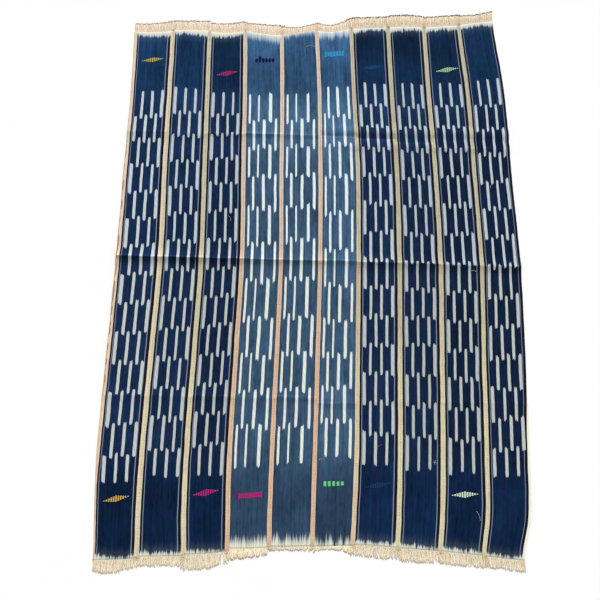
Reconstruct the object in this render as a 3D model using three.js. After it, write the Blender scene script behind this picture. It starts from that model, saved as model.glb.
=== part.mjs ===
// Strip-woven indigo cloth: ten long strips joined edge to edge, lying open on a flat surface.
// Millimetres, +Z up, +Y towards the far end. The cloth rests on z = 0, its box centred on the Z axis.
import * as THREE from 'three';
import { mergeVertices } from 'three/addons/utils/BufferGeometryUtils.js';

// Cloth
const SHEET_THICKNESS = 1.6;
const PIECE_GAP = 0.3;
const COLUMNS_PER_STRIP = 4;
const ROW_PITCH = 72;
const SHARED_LENGTH = { from: -680, to: 652 };
const HALF_LENGTH = 770;
const MERGE_TOLERANCE = 1e-4;

// Fringe
const FRINGE_THICKNESS = 1.4;
const BACKING_WIDTH = 2.4;
const LOCKS_PER_END = 14;
const LOCK_ROOT_SHARE = 0.8;
const LOCK_TIP_SHARE = 0.52;
const LOCK_LEAN_SHARE = 0.16;
const LOCK_LENGTH_SPREAD = 1.5;
const SHORTEST_LOCK = 5;
const FRINGE_SEED = 7;

// Where the strips meet, by height: the left edge, the nine joins and the right edge
const JOIN_ROWS = [
  { y: -770, x: [-503, -404, -299, -199, -103, -3, 88, 193, 291, 392, 484] },
  { y: -700, x: [-505, -405, -298, -198, -103, -3, 89, 194, 292, 394, 488] },
  { y: -630, x: [-510, -408, -302, -200, -103, -2, 93, 198, 299, 405, 505] },
  { y: -500, x: [-517, -409, -304, -202, -102, 0, 99, 203, 305, 410, 512] },
  { y: -250, x: [-515, -405, -300, -197, -97, 4, 102, 207, 311, 415, 517] },
  { y: 0, x: [-513, -400, -296, -192, -93, 7, 105, 210, 315, 421, 520] },
  { y: 250, x: [-514, -406, -301, -198, -98, 5, 104, 208, 310, 414, 512] },
  { y: 500, x: [-515, -409, -306, -204, -102, -1, 93, 197, 298, 406, 506] },
  { y: 700, x: [-520, -411, -309, -210, -108, -11, 86, 190, 291, 390, 487] },
  { y: 770, x: [-520, -411, -309, -211, -108, -12, 85, 189, 290, 388, 484] },
];

// Where each strip's weaving stops and where its fringe tips lie, at its left, middle and right
const TOP_ENDS = [
  { hem: [668, 667, 672], tip: [691, 693, 704] },
  { hem: [674, 676, 676], tip: [703, 705, 706] },
  { hem: [672, 671, 677], tip: [700, 699, 708] },
  { hem: [678, 670, 666], tip: [703, 699, 698] },
  { hem: [666, 674, 686], tip: [694, 693, 709] },
  { hem: [684, 683, 696], tip: [708, 704, 729] },
  { hem: [694, 698, 702], tip: [730, 731, 736] },
  { hem: [702, 706, 704], tip: [738, 742, 738] },
  { hem: [704, 710, 713], tip: [736, 741, 747] },
  { hem: [716, 724, 732], tip: [745, 749, 762] },
];
const LOW_ENDS = [
  { hem: [-738, -736, -732], tip: [-763, -764, -751] },
  { hem: [-729, -727, -725], tip: [-751, -748, -747] },
  { hem: [-722, -719, -713], tip: [-755, -752, -736] },
  { hem: [-707, -706, -703], tip: [-732, -727, -719] },
  { hem: [-701, -700, -698], tip: [-711, -708, -710] },
  { hem: [-699, -697, -695], tip: [-711, -705, -716] },
  { hem: [-693, -695, -698], tip: [-716, -721, -724] },
  { hem: [-699, -701, -704], tip: [-726, -729, -728] },
  { hem: [-704, -708, -712], tip: [-732, -735, -738] },
  { hem: [-713, -717, -721], tip: [-737, -742, -750] },
];
const STRIP_DYES = ['dark', 'dark', 'dark', 'washed', 'washed', 'washed', 'dark', 'dark', 'dark', 'dark'];

// Folds across the cloth: where each runs, how far it reaches to either side, and how high its
// ridge or its two shoulders stand in the cloth's left and right half
const FOLDS = [
  { name: 'lower', y: -358, reach: 36, ridge: [2.0, 0.8], shoulders: [0, 0] },
  { name: 'middle', y: -1, reach: 36, ridge: [7.5, 5.5], shoulders: [0, 0] },
  { name: 'upper', y: 354, reach: 44, ridge: [3.0, 0], shoulders: [0, 3.0] },
];
const FOLD_STEPS = [-1, -0.5, 0, 0.5, 1];
const HALVES_BLEND = 130;
const LEAST_LIFT = 0.01;

// The left edge stands up a little in soft waves along its middle
const EDGE_WAVE = { from: -340, to: 300, waves: 4, width: 30, rise: 3.0 };

// Colours
const DYES = {
  dark: { color: 0x1d2f4f, roughness: 0.93 },
  washed: { color: 0x42607f, roughness: 0.93 },
  undyed: { color: 0xe8d8bb, roughness: 0.95 },
};

// Heights of the cross rows that all strips share: close together at the folds
function sharedRows() {
  const bands = FOLDS.map((fold) => FOLD_STEPS.map((step) => fold.y + step * fold.reach));
  const rows = [SHARED_LENGTH.from];
  for (const band of [...bands, [SHARED_LENGTH.to]]) {
    const previous = rows[rows.length - 1];
    const steps = Math.ceil((band[0] - previous) / ROW_PITCH);
    for (let step = 1; step < steps; step += 1) {
      rows.push(THREE.MathUtils.lerp(previous, band[0], step / steps));
    }
    rows.push(...band);
  }
  return rows;
}

const ROWS = sharedRows();
const JOIN_HEIGHTS = [-HALF_LENGTH, ...ROWS, HALF_LENGTH];
const JOIN_COUNT = STRIP_DYES.length + 1;
const joinCurve = new THREE.CubicInterpolant(
  JOIN_ROWS.map((row) => row.y),
  JOIN_ROWS.flatMap((row) => row.x),
  JOIN_COUNT,
);
// Straight from row to row, so that neighbouring strips keep the same gap all along
const joinLines = new THREE.LinearInterpolant(
  JOIN_HEIGHTS,
  JOIN_HEIGHTS.flatMap((y) => [...joinCurve.evaluate(y)]),
  JOIN_COUNT,
);

// Where a join, counted from the left edge, runs at a height
function joinX(join, y) {
  return joinLines.evaluate(y)[join];
}

// Even random numbers from 0 to 1, the same on every run
function seededRandom(seed) {
  let state = seed;
  return () => {
    state = (state * 1664525 + 1013904223) % 4294967296;
    return state / 4294967296;
  };
}

// Value at u = 0 to 1 on the parabola through a left, middle and right value
function acrossStrip([left, middle, right], u) {
  return left * (1 - u) * (1 - 2 * u) + middle * 4 * u * (1 - u) + right * u * (2 * u - 1);
}

// How far the underside stands above the surface
function liftAt(x, y) {
  let lift = 0;
  const side = THREE.MathUtils.smoothstep(x, -HALVES_BLEND, HALVES_BLEND);
  for (const fold of FOLDS) {
    const offset = Math.min(1, Math.abs(y - fold.y) / fold.reach);
    const ridge = THREE.MathUtils.lerp(fold.ridge[0], fold.ridge[1], side);
    const shoulders = THREE.MathUtils.lerp(fold.shoulders[0], fold.shoulders[1], side);
    lift += ridge * (1 - offset) ** 2 + shoulders * Math.sin(Math.PI * offset) ** 2;
  }
  const along = (y - EDGE_WAVE.from) / (EDGE_WAVE.to - EDGE_WAVE.from);
  const inward = (x - joinX(0, y)) / EDGE_WAVE.width;
  if (along > 0 && along < 1 && inward < 1) {
    lift += EDGE_WAVE.rise * (1 - inward) ** 2 * Math.sin(Math.PI * EDGE_WAVE.waves * along) ** 2;
  }
  return lift < LEAST_LIFT ? 0 : lift;
}

// Plan point of a strip at u across it on the line y, inside the gaps at its two joins
function pointAcross(strip, u, y) {
  const left = joinX(strip, y) + PIECE_GAP / 2;
  const right = joinX(strip + 1, y) - PIECE_GAP / 2;
  return new THREE.Vector2(THREE.MathUtils.lerp(left, right, u), y);
}

// One woven strip: a thin sheet on the folds, from hem to hem
function stripGeometry(strip) {
  const topHem = TOP_ENDS[strip].hem;
  const lowHem = LOW_ENDS[strip].hem;
  const lengthSteps = ROWS.length + 1;
  const geometry = new THREE.BoxGeometry(1, 1, 1, COLUMNS_PER_STRIP, lengthSteps, 1);
  const position = geometry.attributes.position;
  for (let i = 0; i < position.count; i += 1) {
    const u = position.getX(i) + 0.5;
    const step = Math.round((position.getY(i) + 0.5) * lengthSteps);
    const heights = [acrossStrip(lowHem, u), ...ROWS, acrossStrip(topHem, u)];
    const plan = pointAcross(strip, u, heights[step]);
    const top = position.getZ(i) > 0 ? SHEET_THICKNESS : 0;
    position.setXYZ(i, plan.x, plan.y, liftAt(plan.x, plan.y) + top);
  }
  return geometry;
}

// One end's fringe: locks of yarn rooted in a narrow backing along the hem
function fringeGeometry(strip, { hem, tip }, outward, random) {
  const edge = (u, distance) => pointAcross(strip, u, acrossStrip(hem, u) + outward * distance);
  const outline = [];
  for (let column = 0; column <= COLUMNS_PER_STRIP; column += 1) {
    outline.push(edge(column / COLUMNS_PER_STRIP, PIECE_GAP));
  }
  const rootDistance = PIECE_GAP + BACKING_WIDTH;
  outline.push(edge(1, rootDistance));
  const pitch = 1 / LOCKS_PER_END;
  for (let lock = LOCKS_PER_END - 1; lock >= 0; lock -= 1) {
    const middle = (lock + 0.5) * pitch;
    const lean = (random() - 0.5) * LOCK_LEAN_SHARE * pitch;
    const spread = (random() - 0.5) * LOCK_LENGTH_SPREAD * 2;
    const length = Math.abs(acrossStrip(tip, middle) - acrossStrip(hem, middle)) + spread;
    const tipDistance = rootDistance + Math.max(SHORTEST_LOCK, length - rootDistance);
    const rootHalf = LOCK_ROOT_SHARE * pitch / 2;
    const tipHalf = LOCK_TIP_SHARE * pitch / 2;
    outline.push(edge(middle + rootHalf, rootDistance));
    outline.push(edge(middle + lean + tipHalf, tipDistance));
    outline.push(edge(middle + lean - tipHalf, tipDistance));
    outline.push(edge(middle - rootHalf, rootDistance));
  }
  outline.push(edge(0, rootDistance));
  const shape = new THREE.Shape(outline);
  return new THREE.ExtrudeGeometry(shape, { depth: FRINGE_THICKNESS, bevelEnabled: false });
}

// A named mesh with its shared corners merged, so that it is one closed body
function closedMesh(name, geometry, dye) {
  geometry.deleteAttribute('normal');
  geometry.deleteAttribute('uv');
  const merged = mergeVertices(geometry, MERGE_TOLERANCE);
  const mesh = new THREE.Mesh(merged, new THREE.MeshStandardMaterial(DYES[dye]));
  mesh.name = name;
  return mesh;
}

// All strips and fringes, moved so that the cloth's box is centred on the Z axis
function buildCloth() {
  const cloth = new THREE.Group();
  const random = seededRandom(FRINGE_SEED);
  STRIP_DYES.forEach((dye, strip) => {
    const number = String(strip + 1).padStart(2, '0');
    const topFringe = fringeGeometry(strip, TOP_ENDS[strip], 1, random);
    const lowFringe = fringeGeometry(strip, LOW_ENDS[strip], -1, random);
    cloth.add(closedMesh(`strip_${number}`, stripGeometry(strip), dye));
    cloth.add(closedMesh(`fringe_top_${number}`, topFringe, 'undyed'));
    cloth.add(closedMesh(`fringe_low_${number}`, lowFringe, 'undyed'));
  });
  const box = new THREE.Box3().setFromObject(cloth);
  const middle = box.getCenter(new THREE.Vector3());
  cloth.children.forEach((mesh) => mesh.geometry.translate(-middle.x, -middle.y, -box.min.z));
  return cloth;
}

const group = buildCloth();
export default group;
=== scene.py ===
import math
import random
from collections import namedtuple

import bpy
import numpy as np
from mathutils import Matrix, Vector, noise


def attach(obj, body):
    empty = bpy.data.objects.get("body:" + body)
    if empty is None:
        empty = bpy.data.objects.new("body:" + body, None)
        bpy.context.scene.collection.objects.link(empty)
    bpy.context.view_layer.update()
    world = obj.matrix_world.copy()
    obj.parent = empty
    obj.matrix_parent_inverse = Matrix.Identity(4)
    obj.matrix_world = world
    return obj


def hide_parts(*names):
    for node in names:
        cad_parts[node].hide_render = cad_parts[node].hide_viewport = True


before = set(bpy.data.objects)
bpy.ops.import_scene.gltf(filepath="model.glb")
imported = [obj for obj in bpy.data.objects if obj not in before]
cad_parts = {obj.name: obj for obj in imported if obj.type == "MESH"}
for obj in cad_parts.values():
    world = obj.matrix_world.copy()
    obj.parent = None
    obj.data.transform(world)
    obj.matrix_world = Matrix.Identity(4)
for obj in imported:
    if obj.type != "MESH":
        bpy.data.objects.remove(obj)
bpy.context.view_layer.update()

bl_info = {
    "name": "Strip-woven indigo cloth",
    "version": (1, 0, 0),
    "blender": (4, 5, 0),
    "location": "3D View > Sidebar > Cloth",
    "description": "Ten narrow ikat strips sewn edge to edge, with their fringes, stitches and inlays",
    "category": "Object",
}

BODY = "root"
MM = 0.001
STRIP_COUNT = 10
# The middle of the solids' box in the tables' own millimetres
BOX_MIDDLE = (0.4806, -2.6418)


def linear(red, green, blue):
    """A colour of 0 to 255 values as the linear numbers that shaders mix."""
    shares = (value / 255 for value in (red, green, blue))
    return tuple(s / 12.92 if s <= 0.04045 else ((s + 0.055) / 1.055) ** 2.4 for s in shares)


# Where the strips meet, in millimetres by height: the left edge, the nine joins and the right edge
JoinRow = namedtuple("JoinRow", "y x")
JOIN_ROWS = (
    JoinRow(-770, (-503, -404, -299, -199, -103, -3, 88, 193, 291, 392, 484)),
    JoinRow(-700, (-505, -405, -298, -198, -103, -3, 89, 194, 292, 394, 488)),
    JoinRow(-630, (-510, -408, -302, -200, -103, -2, 93, 198, 299, 405, 505)),
    JoinRow(-500, (-517, -409, -304, -202, -102, 0, 99, 203, 305, 410, 512)),
    JoinRow(-250, (-515, -405, -300, -197, -97, 4, 102, 207, 311, 415, 517)),
    JoinRow(0, (-513, -400, -296, -192, -93, 7, 105, 210, 315, 421, 520)),
    JoinRow(250, (-514, -406, -301, -198, -98, 5, 104, 208, 310, 414, 512)),
    JoinRow(500, (-515, -409, -306, -204, -102, -1, 93, 197, 298, 406, 506)),
    JoinRow(700, (-520, -411, -309, -210, -108, -11, 86, 190, 291, 390, 487)),
    JoinRow(770, (-520, -411, -309, -211, -108, -12, 85, 189, 290, 388, 484)),
)

# Each strip's hem, fringe tips and dye edge at one end, in millimetres at its left, middle and right
End = namedtuple("End", "hem tip dyed")
TOP_ENDS = (
    End((668, 667, 672), (691, 693, 704), (658, 654, 659)),
    End((674, 676, 676), (703, 705, 706), (661, 664, 655)),
    End((672, 671, 677), (700, 699, 708), (659, 660, 669)),
    End((678, 670, 666), (703, 699, 698), (668, 656, 651)),
    End((666, 674, 686), (694, 693, 709), (666, 677, 686)),
    End((684, 683, 696), (708, 704, 729), (666, 671, 678)),
    End((694, 698, 702), (730, 731, 736), (680, 691, 690)),
    End((702, 706, 704), (738, 742, 738), (686, 695, 688)),
    End((704, 710, 713), (736, 741, 747), (689, 699, 696)),
    End((716, 724, 732), (745, 749, 762), (702, 713, 718)),
)
LOW_ENDS = (
    End((-738, -736, -732), (-763, -764, -751), (-723, -732, -724)),
    End((-729, -727, -725), (-751, -748, -747), (-716, -719, -717)),
    End((-722, -719, -713), (-755, -752, -736), (-713, -715, -709)),
    End((-707, -706, -703), (-732, -727, -719), (-692, -690, -688)),
    End((-701, -700, -698), (-711, -708, -710), (-687, -688, -687)),
    End((-699, -697, -695), (-711, -705, -716), (-690, -688, -686)),
    End((-693, -695, -698), (-716, -721, -724), (-685, -687, -687)),
    End((-699, -701, -704), (-726, -729, -728), (-691, -694, -695)),
    End((-704, -708, -712), (-732, -735, -738), (-695, -700, -702)),
    End((-713, -717, -721), (-737, -742, -750), (-706, -711, -714)),
)

# The ikat of each strip. marks are the tops of its first, quarter, half, three-quarter and last
# row of dashes, and the foot of the last; first_column is 1 or 2, where the first row starts; tilt
# is how far its rows rise from left to right; wash is the dye's strength as light near its far end,
# above the dashes, among them and near its low end; pale is the brightness of its dashes
Ikat = namedtuple("Ikat", "layout marks first_column tilt wash pale")
IKATS = (
    Ikat("first", (480, 243, -4, -252, -497, -562), 2, 7, (2.2, 1.6, 0.95, 0.64), 1.11),
    Ikat("dark", (494, 257, 12, -239, -480, -548), 1, 0, (1.44, 1.5, 0.88, 0.72), 1.05),
    Ikat("dark", (482, 270, 17, -227, -465, -543), 1, 9, (1.0, 1.1, 0.75, 0.8), 0.99),
    Ikat("washed", (478, 281, 52, -200, -422, -523), 1, 3, (1.6, 1.08, 0.98, 0.87), 1.0),
    Ikat("washed", (481, 285, 61, -193, -417, -514), 1, 5, (1.32, 0.98, 1.0, 0.86), 1.0),
    Ikat("washed", (507, 290, 39, -198, -401, -496), 2, 4, (1.66, 1.1, 1.22, 0.72), 1.0),
    Ikat("dark", (521, 306, 49, -194, -429, -514), 2, 2, (0.84, 1.4, 0.83, 0.95), 1.04),
    Ikat("dark", (522, 302, 43, -194, -437, -520), 2, 2, (0.72, 1.15, 0.72, 0.95), 0.92),
    Ikat("dark", (525, 308, 45, -202, -442, -526), 2, 5, (1.0, 1.1, 0.55, 0.83), 0.98),
    Ikat("last", (540, 296, 40, -219, -465, -531), 2, 8, (1.5, 1.3, 0.6, 0.82), 1.04),
)
# How peach the undyed warp is along each join, from the left edge to the right one
JOIN_PEACH = (0.55, 0.1, 0.22, 0.72, 0.95, 0.95, 0.45, 0.2, 0.2, 0.15, 0.1)
# How much darker its upper two thirds are
JOIN_DULL = (0.0, 0.04, 0.14, 0.06, 0.02, 0.03, 0.2, 0.24, 0.18, 0.2, 0.0)

# The layout across a strip as shares of its width: how far in from its left and right edge the
# undyed selvedge and then the black stripe reach, the thin pale lines inside them, the middles and
# half widths of the columns of dashes, and how many rows of dashes there are and their overlap
Layout = namedtuple("Layout", "selvedges blacks pale_lines centres halves rows overlap")
LAYOUTS = {
    "dark": Layout(
        (0.047, 0.061), (0.09, 0.119), ((0.094, 0.112), (0.851, 0.872)),
        (0.155, 0.297, 0.425, 0.5545, 0.6845, 0.818),
        (0.036, 0.031, 0.031, 0.031, 0.031, 0.035), 14, 0.14),
    "first": Layout(
        (0.077, 0.061), (0.109, 0.119), ((0.113, 0.128), (0.851, 0.872)),
        (0.179, 0.317, 0.439, 0.568, 0.69, 0.82),
        (0.037, 0.032, 0.032, 0.032, 0.032, 0.036), 14, 0.14),
    "last": Layout(
        (0.036, 0.004), (0.084, 0.056), ((0.088, 0.104), (0.914, 0.928)),
        (0.162, 0.31, 0.446, 0.581, 0.717, 0.86),
        (0.038, 0.033, 0.033, 0.033, 0.033, 0.039), 14, 0.14),
    "washed": Layout(
        (0.047, 0.058), (0.064, 0.074), None,
        (0.134, 0.25, 0.371, 0.521, 0.682, 0.832),
        (0.0265, 0.031, 0.0225, 0.037, 0.039, 0.033), 11, 0.145),
}
# How far in the stripes beside the two outer edges shift at the cloth's low end, and the heights
# between which they do
Shift = namedtuple("Shift", "amount start stop")
LEFT_SHIFT, RIGHT_SHIFT = Shift(0.04, -600, -450), Shift(0.06, -480, -250)

# Folds across the cloth, in millimetres: where each runs, how far it reaches to either side, and how
# high its ridge or its two shoulders stand in the cloth's left and right half
Fold = namedtuple("Fold", "y drop reach ridge shoulders")
FOLDS = (
    Fold(-358, 0, 36, (2.0, 0.8), (0, 0)),
    Fold(-1, -3, 36, (7.5, 5.5), (0, 0)),
    Fold(354, -4, 44, (3.0, 0), (0, 3.0)),
)
# How dark the painted shade beside each fold is on each strip, below its line or above it where
# negative, and how far above the fold's own height the line runs there, in millimetres
Soil = namedtuple("Soil", "strengths shifts")
FOLD_PAINTED_SHADE = (
    Soil((0.08, 0.12, 0.24, 0.06, 0.26, 0.24, 0.06, 0.06, 0.08, 0.04),
         (0, 2, 4, 4, 4, -8, 0, 0, 0, 0)),
    Soil((0.52, 0.62, 0.5, 0.34, 0.36, 0.3, 0.45, 0.36, 0.3, 0.4),
         (0, 0, 0, 0, 0, 2, 0, 1, -3, -4)),
    Soil((0.1, 0.16, 0.26, 0.42, 0.3, -0.3, -0.5, -0.3, -0.26, -0.2),
         (0, -6, 0, 3, 3, 3, -2, -10, -18, -18)),
)
# How far to either side of the middle the two halves blend
HALVES_BLEND = 130
# How far a fold's line and its height stray, and over what distance
FOLD_STRAY, FOLD_STRAY_RUN = 1.6, 70
FOLD_UNEVEN, FOLD_UNEVEN_RUN = 0.22, 90
EDGE_WAVE = {"from": -340, "to": 300, "waves": 4, "width": 30, "rise": 3.0}

# Inlaid weft figures in millimetres: the strip, its left and right end, the height of each end, how
# deep it is, its shape, its columns, its yarn, that of its tips or left end, and its tall columns
Inlay = namedtuple("Inlay", "strip left right y_left y_right deep shape columns yarn tips tall")
INLAYS = (
    Inlay(1, -492, -432, 571, 581, 14, "lozenge", 11, "yellow", "grey", ()),
    Inlay(1, -492, -432, -607, -594, 14, "lozenge", 11, "gold", "straw", ()),
    Inlay(3, -284, -228, 533, 545, 16, "lozenge", 10, "magenta", "rose", ()),
    Inlay(3, -284, -224, -589, -576, 15, "lozenge", 11, "magenta", "rose", ()),
    Inlay(4, -180, -126, 582, 585, 15, "beads", 6, "plum", "plum", (1,)),
    Inlay(4, -184, -123, -590, -584, 13, "bar", 12, "magenta", "violet", (0,)),
    Inlay(6, 11, 66, 606, 611, 18, "bar", 7, "cyan", "blue", ()),
    Inlay(6, 19, 70, -557, -555, 12, "squares", 5, "green", "green", ()),
    Inlay(7, 118, 173, 565, 573, 14, "lozenge", 10, "navy", "navy", ()),
    Inlay(7, 118, 178, -563, -553, 14, "lozenge", 11, "faint", "faint", ()),
    Inlay(9, 320, 382, 561, 574, 15, "lozenge", 11, "lime", "pale", ()),
    Inlay(9, 321, 385, -577, -573, 14, "lozenge", 11, "pale", "pale", ()),
)
INLAY_YARNS = {
    "yellow": linear(208, 194, 84), "gold": linear(222, 184, 84), "grey": linear(180, 188, 198),
    "magenta": linear(198, 34, 126), "rose": linear(204, 92, 158), "plum": linear(14, 2, 84),
    "cyan": linear(62, 160, 216), "blue": linear(36, 166, 186), "green": linear(128, 222, 150),
    "violet": linear(96, 24, 118), "faint": linear(20, 62, 114), "straw": linear(200, 206, 168),
    "navy": linear(14, 84, 144), "lime": linear(188, 228, 178), "pale": linear(228, 247, 218),
}


def length_setting(name, description, default):
    """A setting in metres."""
    return bpy.props.FloatProperty(
        name=name, description=description, default=default, unit="LENGTH")


def colour_setting(name, description, default):
    """A setting for a colour."""
    return bpy.props.FloatVectorProperty(
        name=name, description=description, default=default, size=3, subtype="COLOR")


class ClothSettings(bpy.types.PropertyGroup):
    """Sizes of the woven strips and of the yarns on them"""
    thickness: length_setting("Thickness", "How thick the handwoven cotton is", 0.0016)
    pucker: length_setting("Pucker", "How far the joins pull the cloth up and down", 0.0006)
    ripple: length_setting("Ripple", "How unevenly the open cloth lies", 0.0008)
    fringe_yarns: bpy.props.IntProperty(
        name="Fringe yarns", description="Yarns at each end of a strip", default=160)
    fringe_yarn: length_setting("Fringe yarn", "Width of a fringe yarn", 0.0014)
    stitch_pitch: length_setting("Stitch pitch", "From one whip stitch of a join to the next", 0.0068)
    stitch_yarn: length_setting("Stitch yarn", "Width of the sewing thread", 0.0007)


class DyeSettings(bpy.types.PropertyGroup):
    """Colours of the dyed and undyed yarns"""
    dark: colour_setting("Dark indigo", "The deep dye of the outer strips", linear(17, 41, 73))
    washed: colour_setting(
        "Washed indigo", "The lighter dye of the three middle strips", linear(51, 76, 103))
    black: colour_setting(
        "Black warp", "The near-black stripe beside each selvedge", linear(24, 24, 30))
    pale_line: colour_setting(
        "Pale line", "The thin blue-grey line inside the black stripe", linear(140, 153, 180))
    dash: colour_setting(
        "Dash", "The resist-dyed dashes of the dark strips", linear(196, 204, 206))
    bright_dash: colour_setting(
        "Bright dash", "The resist-dyed dashes of the washed strips", linear(234, 244, 241))
    cream: colour_setting("Cream", "Undyed warp at the selvedges", linear(223, 217, 181))
    peach: colour_setting(
        "Peach", "Undyed warp where it has taken a peach tint", linear(226, 194, 168))
    fringe: colour_setting("Fringe", "Undyed warp ends", linear(254, 243, 218))


class StageSettings(bpy.types.PropertyGroup):
    """The floor, the light and the camera"""
    floor: colour_setting("Floor", "Colour of the floor", (0.97, 0.97, 0.97))
    room_light: bpy.props.FloatProperty(
        name="Room light", description="Strength of the light from all round", default=0.45)
    window_light: bpy.props.FloatProperty(
        name="Window light", description="Strength of the soft light from beyond the far end",
        default=3.3)
    lens: bpy.props.FloatProperty(
        name="Lens", description="Focal length on a 36 mm sensor", default=47.964, unit="CAMERA")


# Shape of the cloth

def smoothstep(low, high, value):
    share = min(1.0, max(0.0, (value - low) / (high - low)))
    return share * share * (3 - 2 * share)


def lerp(a, b, share):
    return a + (b - a) * share


def join_slopes(join):
    """The slope of a join at each of its rows: the mean of the slopes to either side."""
    steps = [
        (b.x[join] - a.x[join]) / (b.y - a.y) for a, b in zip(JOIN_ROWS, JOIN_ROWS[1:])]
    inner = [(a + b) / 2 for a, b in zip(steps, steps[1:])]
    return [steps[0], *inner, steps[-1]]


JOIN_SLOPES = [join_slopes(join) for join in range(STRIP_COUNT + 1)]


def eased(t, start, stop, start_run, stop_run):
    """The cubic that goes from start to stop while t goes from 0 to 1, with its slope at each."""
    return ((2 * t ** 3 - 3 * t ** 2 + 1) * start + (t ** 3 - 2 * t ** 2 + t) * start_run
            + (3 * t ** 2 - 2 * t ** 3) * stop + (t ** 3 - t ** 2) * stop_run)


def join_x(join, y):
    """Where a join runs at a height, both in table millimetres."""
    i = 0
    while i < len(JOIN_ROWS) - 2 and y > JOIN_ROWS[i + 1].y:
        i += 1
    a, b = JOIN_ROWS[i], JOIN_ROWS[i + 1]
    reach = b.y - a.y
    start_run, stop_run = (slope * reach for slope in JOIN_SLOPES[join][i:i + 2])
    return eased((y - a.y) / reach, a.x[join], b.x[join], start_run, stop_run)


def across(values, share):
    """The value at a share across a strip, on the parabola through its left, middle and right."""
    left, middle, right = values
    return (left * (1 - share) * (1 - 2 * share) + middle * 4 * share * (1 - share)
            + right * share * (2 * share - 1))


def wander(x, y, seed):
    """Smooth unevenness from about -1 to 1."""
    return noise.noise(Vector((x, y, seed * 7.31)))


def lift_at(x, y):
    """How far the underside stands off the floor, in millimetres."""
    lift = 0.0
    side = smoothstep(-HALVES_BLEND, HALVES_BLEND, x)
    across_cloth = (x - JOIN_ROWS[0].x[0]) / 1000
    for number, fold in enumerate(FOLDS):
        stray = FOLD_STRAY * wander(x / FOLD_STRAY_RUN, 0, number)
        line = fold.y + fold.drop * across_cloth + stray
        offset = min(1.0, abs(y - line) / fold.reach)
        height = 1 + FOLD_UNEVEN * wander(x / FOLD_UNEVEN_RUN, 3.7, number)
        ridge = lerp(*fold.ridge, side) * (1 - offset) ** 2
        shoulders = lerp(*fold.shoulders, side) * math.sin(math.pi * offset) ** 2
        lift += height * (ridge + shoulders)
    return lift + edge_wave(x, y)


def edge_wave(x, y):
    """How far the left edge stands up in its soft waves, in millimetres."""
    along = (y - EDGE_WAVE["from"]) / (EDGE_WAVE["to"] - EDGE_WAVE["from"])
    inward = (x - join_x(0, y)) / EDGE_WAVE["width"]
    if not 0 < along < 1 or inward >= 1:
        return 0.0
    wave = math.sin(math.pi * EDGE_WAVE["waves"] * along) ** 2
    return EDGE_WAVE["rise"] * (1 - max(0.0, inward)) ** 2 * wave


# The heights between which the small unevenness dies away, because both ends lie flat
LOW_REST, TOP_REST = (-735, -660), (640, 715)
# How far from a join its stitches still pull, how fast their pull changes along it, and how near
# the ends it stops
PUCKER_REACH, PUCKER_RUN, PUCKER_END = 9.0, 11, 690


def lie_at(x, y, cloth):
    """The underside's height in millimetres, with the small unevenness of cloth that lies open."""
    ends = smoothstep(*LOW_REST, y) * (1 - smoothstep(*TOP_REST, y))
    broad = 0.5 + 0.5 * wander(x / 85, y / 120, 11) + 0.35 * wander(x / 34, y / 46, 12)
    return lift_at(x, y) + ends * max(0.0, broad) * cloth.ripple / MM


def join_pucker(distance, y, join, cloth):
    """How far a join's stitches pull the cloth up or down at a distance from it, in millimetres."""
    pull = math.exp(-abs(distance) / PUCKER_REACH)
    return cloth.pucker / MM * pull * (0.6 + wander(join * 3.1, y / PUCKER_RUN, 21))


def in_frame(x, y, z):
    """A point of the tables, in millimetres, as metres in the shared frame."""
    return ((x - BOX_MIDDLE[0]) * MM, (y - BOX_MIDDLE[1]) * MM, z * MM)


def top_height(x, y, cloth):
    """The height of the cloth's upper face in millimetres."""
    return lie_at(x, y, cloth) + cloth.thickness / MM


def tinted(colour, red, green, blue):
    return (colour[0] * red, colour[1] * green, colour[2] * blue)


def dye_of(strip):
    return "washed" if IKATS[strip].layout == "washed" else "dark"


# Node building

def by_node(operation, turned=False):
    """A method that puts its number, and any other, through one maths node."""
    def method(self, *others):
        values = (*others, self) if turned else (self, *others)
        return self.nodes.maths(operation, *values)
    return method


class Number:
    """A number socket that is added, multiplied and compared as a number is."""

    def __init__(self, nodes, socket):
        self.nodes, self.socket = nodes, socket

    __add__ = __radd__ = by_node("ADD")
    __mul__ = __rmul__ = by_node("MULTIPLY")
    __sub__, __rsub__ = by_node("SUBTRACT"), by_node("SUBTRACT", turned=True)
    __truediv__, __mod__ = by_node("DIVIDE"), by_node("FLOORED_MODULO")
    __gt__, __lt__ = by_node("GREATER_THAN"), by_node("LESS_THAN")
    __abs__, floor, sine = by_node("ABSOLUTE"), by_node("FLOOR"), by_node("SINE")
    least, most = by_node("MINIMUM"), by_node("MAXIMUM")


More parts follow.
